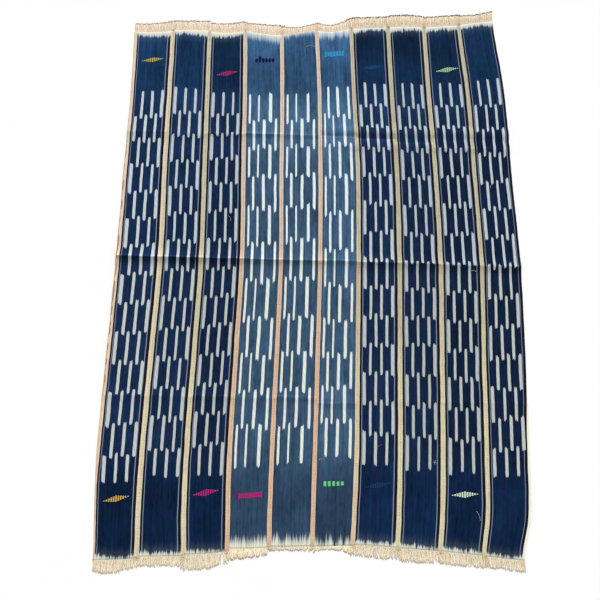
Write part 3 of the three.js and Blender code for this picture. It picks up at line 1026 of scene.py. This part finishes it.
def new_piece(name, mesh, material):
    """A finished piece at the origin, riding on the cloth's one body."""
    mesh.name = name
    mesh.materials.clear()
    mesh.materials.append(material)
    piece = bpy.data.objects.new(name, mesh)
    bpy.context.collection.objects.link(piece)
    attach(piece, BODY)
    return piece


def sewn_to(join, y, cloth):
    """A point on a join at a height, and the way the join runs there."""
    x = join_x(join, y)
    run = join_x(join, y + 1) - join_x(join, y - 1)
    z = top_height(x, y, cloth) - cloth.thickness / MM * EDGE_LOSS
    if abs(y) < PUCKER_END:
        z += max(-z, join_pucker(0.0, y, join, cloth))
    return x, z, math.atan2(-run, 2)


class CLOTH_OT_strips(bpy.types.Operator):
    """Weave the ten strips on the folds of their solids"""
    bl_idname = "cloth.strips"
    bl_label = "Strips"

    def execute(self, context):
        cloth, dyes = context.scene.indigo_cloth, context.scene.indigo_dyes
        for strip in range(STRIP_COUNT):
            number = f"{strip + 1:02d}"
            mesh = strip_mesh(strip, cloth)
            piece = new_piece(f"strip_{number}_cloth", mesh, weave_material(strip, dyes))
            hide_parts(f"strip_{number}")
        return {"FINISHED"}


# The first strip, counted from 0, whose far fringe has the darker brown tips of painted shadow
FIRST_SHADOW_TIPPED = 6
# How the yarns of the far and of the near fringes lie: which way they point, in how many locks, how
# unevenly a lock leans in radians, how much further a lock and then a yarn reaches in millimetres,
# how unevenly a yarn leans, how long the lower yarns are beside the others, and how thin a tip is
FringeWay = namedtuple(
    "FringeWay", "outward locks lean lock_reach yarn_reach yarn_lean lower_share tip_share")
FRINGE_WAYS = {
    "top": FringeWay(1, 24, 0.05, (1.3, 3.1), (-1.1, 0.8), 0.08, 1.0, 0.7),
    "low": FringeWay(-1, 19, 0.13, (-3.2, 1.2), (-2.4, 0.9), 0.12, 0.88, 0.45),
}
# How the palest and the deepest yarns of each fringe tint the fringe's colour, the colour of its
# tips, and how bright it is at the root and near the tip
FringeYarn = namedtuple("FringeYarn", "palest deepest tips glow")
FRINGE_YARNS = {
    # The brown tips of both far fringes are painted shadow along the fringe's edge
    "far fringe": FringeYarn(
        (1.0, 0.97, 1.0), (0.92, 0.74, 0.6), linear(146, 104, 78), (0.95, 1.08)),
    "soiled far fringe": FringeYarn(
        (0.96, 0.93, 0.92), (0.92, 0.74, 0.6), linear(86, 56, 40), (0.92, 1.1)),
    "near fringe": FringeYarn(
        (1.0, 1.0, 1.0), (0.86, 0.7, 0.52), linear(226, 208, 174), (0.96, 1.0)),
    "pale near fringe": FringeYarn(
        (1.02, 1.04, 1.02), (0.86, 0.7, 0.52), linear(204, 168, 134), (1.1, 0.98)),
}
FRINGE_PLIES = 7
# How far in from the joins and the hem the yarns start, and the shortest yarn, in millimetres
YARN_INSET, SHORTEST_YARN = 0.8, 6.0
# How near the cloth's outer edges, as a share of a strip, its yarns may lean out no further than this
OUTER_SHARE, OUTER_LEAN = 0.06, 0.04


def fringe_yarns(strip, end, way, cloth, chance):
    """The yarns of one fringe, in locks that lean and fray. Every third lies lower, and its darker
    tone is painted shade in the gaps between the locks.
    """
    yarns = []
    leans = [chance.gauss(0, way.lean) for _ in range(way.locks + 1)]
    reaches = [chance.uniform(*way.lock_reach) for _ in range(way.locks + 1)]
    for i in range(cloth.fringe_yarns):
        share = (i + 0.5 + chance.uniform(-0.3, 0.3)) / cloth.fringe_yarns
        hem = across(end.hem, share)
        left, right = join_x(strip, hem) + YARN_INSET, join_x(strip + 1, hem) - YARN_INSET
        under = i % 3 == 0
        lock = min(way.locks, max(0, int(share * way.locks + chance.gauss(0, 0.25))))
        gather = ((lock + 0.5) / way.locks - share) * (right - left)
        length = abs(across(end.tip, share) - hem) + reaches[lock] + chance.uniform(*way.yarn_reach)
        length = max(SHORTEST_YARN, length * (way.lower_share if under else 1.0))
        aim = math.atan2(gather * chance.uniform(0.0, 0.3), length) + leans[lock]
        aim += chance.gauss(0, way.yarn_lean)
        if strip == 0 and share < OUTER_SHARE:
            aim = max(aim, -OUTER_LEAN)
        if strip == STRIP_COUNT - 1 and share > 1 - OUTER_SHARE:
            aim = min(aim, OUTER_LEAN)
        size = cloth.fringe_yarn * chance.uniform(0.75, 1.25)
        z = 0.45 * size / MM if under else 0.8 + chance.uniform(0.0, 0.6)
        # The lower yarns' darker tone is painted shade between the locks
        tone = chance.uniform(0.35, 0.75) if under else 0.45 * chance.random() ** 1.5
        if min(share, 1 - share) < 0.07:
            tone = max(tone, chance.uniform(0.3, 0.75))
        yarns.append(Yarn(
            in_frame(lerp(left, right, share), hem - YARN_INSET * way.outward, z),
            (0.0, 0.0, -aim if way.outward > 0 else math.pi + aim),
            (size, length * MM / math.cos(min(0.5, abs(aim))), size * 0.8), tone))
    return yarns


class CLOTH_OT_fringes(bpy.types.Operator):
    """Lay the warp ends of each strip as yarns"""
    bl_idname = "cloth.fringes"
    bl_label = "Fringes"

    def execute(self, context):
        cloth, dyes = context.scene.indigo_cloth, context.scene.indigo_dyes
        chance = random.Random(31)
        finishes = {
            name: yarn_material(
                name, tinted(dyes.fringe, *yarn.palest), tinted(dyes.fringe, *yarn.deepest),
                FRINGE_PLIES, yarn.tips, yarn.glow)
            for name, yarn in FRINGE_YARNS.items()}
        for strip in range(STRIP_COUNT):
            number = f"{strip + 1:02d}"
            far = "soiled far fringe" if strip >= FIRST_SHADOW_TIPPED else "far fringe"
            near = "pale near fringe" if dye_of(strip) == "washed" else "near fringe"
            for side, ends, finish in (("top", TOP_ENDS, far), ("low", LOW_ENDS, near)):
                way = FRINGE_WAYS[side]
                piece = lay_yarns(
                    f"fringe_{side}_{number}_yarns",
                    fringe_yarns(strip, ends[strip], way, cloth, chance), finishes[finish],
                    segments=6, sides=4, tip_share=way.tip_share, curl=0.006, curl_scale=90.0,
                    seed=strip * 1.7 + way.outward)
                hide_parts(f"fringe_{side}_{number}")
        return {"FINISHED"}


def stitch(x, y, z, slant, length, size, tone):
    """A thread whose middle lies over a point of the tables; its size is in metres."""
    way = Vector((-math.sin(slant), math.cos(slant))) * length / 2
    return Yarn(
        in_frame(x - way.x, y - way.y, z), (0.0, 0.0, slant), (size, length * MM, size), tone)


class CLOTH_OT_joins(bpy.types.Operator):
    """Whip the strips together along their selvedges"""
    bl_idname = "cloth.joins"
    bl_label = "Joins"

    def execute(self, context):
        cloth = context.scene.indigo_cloth
        chance = random.Random(43)
        thread = yarn_material("sewing thread", linear(244, 236, 208), linear(238, 214, 188), 3)
        for join in range(1, STRIP_COUNT):
            yarns = []
            start = max(across(LOW_ENDS[join - 1].hem, 1.0), across(LOW_ENDS[join].hem, 0.0)) + 3
            stop = min(across(TOP_ENDS[join - 1].hem, 1.0), across(TOP_ENDS[join].hem, 0.0)) - 3
            y = start
            while y < stop:
                x, z, turn = sewn_to(join, y, cloth)
                yarns.append(stitch(
                    x, y, z + 0.05, turn - math.pi / 2 + chance.gauss(0.62, 0.12),
                    chance.uniform(2.6, 3.6), cloth.stitch_yarn * chance.uniform(0.85, 1.2),
                    chance.random()))
                y += cloth.stitch_pitch / MM * chance.uniform(0.8, 1.2)
            lay_yarns(
                f"join_{join:02d}_stitches", yarns, thread, segments=4, sides=4,
                tip_share=0.9, arch=0.9)
        return {"FINISHED"}


class CLOTH_OT_hems(bpy.types.Operator):
    """Bind the last weft of each end with small stitches, and knot the joins' thread"""
    bl_idname = "cloth.hems"
    bl_label = "Hems"

    def execute(self, context):
        cloth = context.scene.indigo_cloth
        chance = random.Random(59)
        thread = yarn_material("hem thread", linear(255, 248, 214), linear(182, 142, 108), 3)
        for ends, side, outward in ((TOP_ENDS, "top", 1), (LOW_ENDS, "low", -1)):
            yarns = []
            for strip in range(STRIP_COUNT):
                yarns += hem_stitches(strip, ends[strip], outward, cloth, chance)
            for join in range(1, STRIP_COUNT):
                yarns += join_knot(join, ends, outward, cloth, chance)
            lay_yarns(
                f"hem_{side}_stitches", yarns, thread, segments=4, sides=4,
                tip_share=0.85, arch=0.45)
        return {"FINISHED"}


# Stitches along each strip's hem, turns of thread in a far and in a near knot, and the height of a
# knot in millimetres
HEM_STITCHES, FAR_TURNS, NEAR_TURNS, KNOT_HEIGHT = 34, 4, 9, 1.3


def hem_stitches(strip, end, outward, cloth, chance):
    """A line of small slanted stitches along a strip's hem."""
    yarns = []
    for i in range(HEM_STITCHES):
        share = (i + 0.5) / HEM_STITCHES
        y = across(end.hem, share) - outward * 0.4
        x = lerp(join_x(strip, y), join_x(strip + 1, y), share)
        yarns.append(stitch(
            x, y, top_height(x, y, cloth) - 0.45,
            -math.pi / 2 + outward * chance.gauss(0.5, 0.1), chance.uniform(3.2, 4.0),
            cloth.stitch_yarn * chance.uniform(0.6, 0.85), 0.15 * chance.random()))
    return yarns


def join_knot(join, ends, outward, cloth, chance):
    """The thread wound and knotted where a join meets the fringe."""
    y = (across(ends[join - 1].hem, 1.0) + across(ends[join].hem, 0.0)) / 2
    yarns = []
    for _ in range(FAR_TURNS if outward > 0 else NEAR_TURNS):
        at = y + outward * chance.uniform(-4.0, 3.5)
        yarns.append(stitch(
            join_x(join, at), at, KNOT_HEIGHT, -math.pi / 2 + chance.gauss(0, 0.55),
            chance.uniform(4.5, 8.0), cloth.stitch_yarn * chance.uniform(1.1, 1.8),
            0.2 + 0.7 * chance.random()))
    return yarns


# From one float of an inlay to the next, in millimetres, and how much of its column a float spans
# between the middles of its ends, which reach further
FLOAT_PITCH = 2.0
FLOAT_SHARES = {"lozenge": 0.44, "beads": 0.58, "bar": 0.54, "squares": 0.39}


class CLOTH_OT_inlays(bpy.types.Operator):
    """Float the coloured weft figures on the plain ends of the strips"""
    bl_idname = "cloth.inlays"
    bl_label = "Inlays"

    def execute(self, context):
        cloth = context.scene.indigo_cloth
        chance = random.Random(71)
        for number, inlay in enumerate(INLAYS, 1):
            finish = yarn_material(
                f"inlay {inlay.yarn} {number}", INLAY_YARNS[inlay.yarn], INLAY_YARNS[inlay.tips], 3)
            lay_yarns(
                f"inlay_{number:02d}_floats", inlay_floats(inlay, cloth, chance), finish,
                segments=4, sides=5, tip_share=0.9, arch=0.55)
        return {"FINISHED"}


def inlay_floats(inlay, cloth, chance):
    """The short floats of an inlaid figure: columns of them between the warp that binds them."""
    column_width = (inlay.right - inlay.left) / inlay.columns
    slant = math.atan2(inlay.y_right - inlay.y_left, inlay.right - inlay.left)
    floats = []
    for column in range(inlay.columns):
        middle = (column + 0.5) / inlay.columns
        out = abs(2 * middle - 1)
        if inlay.shape == "lozenge":
            deep, tip = inlay.deep * max(0.13, 1 - out ** 1.1), smoothstep(0.55, 1.0, out)
        else:
            deep, tip = inlay.deep * chance.uniform(0.72, 1.0), float(column == 0)
        if column in inlay.tall:
            deep *= 1.7
        count = max(1, round(deep / FLOAT_PITCH))
        pitch = deep / count
        y_middle = lerp(inlay.y_left, inlay.y_right, middle)
        if column in inlay.tall:
            y_middle += deep * 0.2
        for i in range(count):
            y = y_middle + (i - (count - 1) / 2) * pitch + chance.uniform(-0.15, 0.15)
            length = column_width * FLOAT_SHARES[inlay.shape] * chance.uniform(0.92, 1.06)
            if inlay.shape == "beads":
                length *= 0.5 + 0.5 * math.sin(math.pi * (i + 0.5) / count)
            x = lerp(inlay.left, inlay.right, middle) - length / 2
            floats.append(Yarn(
                in_frame(x, y, top_height(x, y, cloth) - 0.15), (0.0, 0.0, slant - math.pi / 2),
                (pitch * 1.05 * MM, length * MM, pitch * 0.7 * MM),
                min(1.0, 0.12 * chance.random() + 0.88 * tip)))
    return floats


# Loose ends that lie on the cloth, in millimetres: where each starts and stops and how it bends
Loose = namedtuple("Loose", "start stop bend tone")
LOOSE_ENDS = (
    Loose((-40, 630), (-12, 631), 3.5, 0.1), Loose((378, -612), (386, -633), 2.5, 0.0),
    Loose((280, -501), (289, -504), 1.0, 0.1), Loose((284, -506), (286, -497), 0.8, 0.1),
    Loose((392, -19), (404, -21), 1.5, 0.1), Loose((9, -502), (22, -500), 2.0, 0.3),
    Loose((150, -468), (160, -463), 1.5, 1.0), Loose((-232, 118), (-226, 103), 2.0, 0.2),
    Loose((452, 212), (458, 224), 1.5, 0.1),
)


# Straight pieces in each loose end, how far each overlaps the next, and the thread's width in metres
LOOSE_STEPS, STEP_OVERLAP, STRAY_YARN = 7, 1.08, 0.0007


class CLOTH_OT_loose_ends(bpy.types.Operator):
    """Drop the few stray threads that lie on the cloth"""
    bl_idname = "cloth.loose_ends"
    bl_label = "Loose ends"

    def execute(self, context):
        cloth = context.scene.indigo_cloth
        finish = yarn_material("stray thread", linear(214, 220, 214), linear(168, 92, 84), 4)
        yarns = []
        for end in LOOSE_ENDS:
            start, stop = Vector(end.start), Vector(end.stop)
            side = (stop - start).orthogonal().normalized()
            path = [
                start.lerp(stop, i / LOOSE_STEPS)
                + side * end.bend * math.sin(math.pi * i / LOOSE_STEPS)
                for i in range(LOOSE_STEPS + 1)]
            for a, b in zip(path, path[1:]):
                step = b - a
                z = top_height(a.x, a.y, cloth) + 0.3
                yarns.append(Yarn(
                    in_frame(a.x, a.y, z), (0.0, 0.0, math.atan2(-step.x, step.y)),
                    (STRAY_YARN, step.length * STEP_OVERLAP * MM, STRAY_YARN), end.tone))
        lay_yarns("loose_ends", yarns, finish, segments=2, sides=5, tip_share=1.0)
        return {"FINISHED"}


# The camera's place in the shared frame in metres, and its turn, tilt and roll in radians
CAMERA_PLACE = (-0.060418, -0.690885, 1.922792)
CAMERA_TURN, CAMERA_TILT, CAMERA_ROLL = -0.0289836, 0.296706, 0.0500338
# The window's place in the same metres, and how wide it looks from the cloth in radians
WINDOW_PLACE, WINDOW_SPREAD = (0.5, 4.0, 2.7), 0.35
FLOOR_SIZE, FLOOR_DEPTH = 14.0, -0.0001


class CLOTH_OT_stage(bpy.types.Operator):
    """Set the floor, the soft light and the camera"""
    bl_idname = "cloth.stage"
    bl_label = "Stage"

    def execute(self, context):
        stage = context.scene.indigo_stage
        half = FLOOR_SIZE / 2
        mesh = bpy.data.meshes.new("floor")
        corners = [(-half, -half), (half, -half), (half, half), (-half, half)]
        mesh.from_pydata([(x, y, FLOOR_DEPTH) for x, y in corners], [], [(0, 1, 2, 3)])
        floor = bpy.data.objects.new("floor", mesh)
        context.collection.objects.link(floor)
        material, nodes, shader = new_material("pale floor", 0.95, 0.1, 0.0)
        spread = nodes.add("ShaderNodeTexCoord").outputs["Object"]
        mottle = nodes.cloudy(spread, 3.0, 3.0)
        nodes.feed(shader.inputs["Base Color"], nodes.dim(stage.floor, 0.985 + 0.02 * mottle))
        mesh.materials.append(material)

        world = bpy.data.worlds.new("room")
        world.use_nodes = True
        background = world.node_tree.nodes["Background"].inputs
        background["Color"].default_value = (1.0, 1.0, 1.0, 1.0)
        background["Strength"].default_value = stage.room_light
        context.scene.world = world
        lamp = bpy.data.lights.new("window", "SUN")
        lamp.angle = WINDOW_SPREAD
        lamp.energy = stage.window_light
        window = bpy.data.objects.new("window", lamp)
        place = Vector(WINDOW_PLACE)
        window.location = place
        window.rotation_euler = (-place).to_track_quat("-Z", "Y").to_euler()
        context.collection.objects.link(window)

        lens = bpy.data.cameras.new("camera")
        lens.lens, lens.sensor_width = stage.lens, 36.0
        camera = bpy.data.objects.new("camera", lens)
        camera.matrix_world = Matrix.Translation(CAMERA_PLACE) @ (
            Matrix.Rotation(CAMERA_TURN, 4, "Z") @ Matrix.Rotation(CAMERA_TILT, 4, "X")
            @ Matrix.Rotation(CAMERA_ROLL, 4, "Z"))
        context.collection.objects.link(camera)
        context.scene.camera = camera
        context.scene.view_settings.view_transform = "Standard"
        return {"FINISHED"}


class CLOTH_PT_panel(bpy.types.Panel):
    """The steps that make the cloth"""
    bl_idname = "CLOTH_PT_panel"
    bl_label = "Indigo cloth"
    bl_space_type = "VIEW_3D"
    bl_region_type = "UI"
    bl_category = "Cloth"

    def draw(self, context):
        for title in SETTINGS:
            group, box = getattr(context.scene, title), self.layout.box()
            for name in group.__annotations__:
                box.prop(group, name)
        for step in STEPS:
            self.layout.operator(step.bl_idname)


STEPS = (
    CLOTH_OT_stage, CLOTH_OT_strips, CLOTH_OT_fringes, CLOTH_OT_joins, CLOTH_OT_hems,
    CLOTH_OT_inlays, CLOTH_OT_loose_ends)
SETTINGS = {
    "indigo_cloth": ClothSettings, "indigo_dyes": DyeSettings, "indigo_stage": StageSettings}
CLASSES = (*SETTINGS.values(), *STEPS, CLOTH_PT_panel)


def register():
    for item in CLASSES:
        bpy.utils.register_class(item)
    for title, group in SETTINGS.items():
        setattr(bpy.types.Scene, title, bpy.props.PointerProperty(type=group))


def unregister():
    for title in SETTINGS:
        delattr(bpy.types.Scene, title)
    for item in reversed(CLASSES):
        bpy.utils.unregister_class(item)


def main():
    register()
    bpy.ops.cloth.stage()
    bpy.ops.cloth.strips()
    bpy.ops.cloth.fringes()
    bpy.ops.cloth.joins()
    bpy.ops.cloth.hems()
    bpy.ops.cloth.inlays()
    bpy.ops.cloth.loose_ends()


if __name__ == "__main__":
    main()
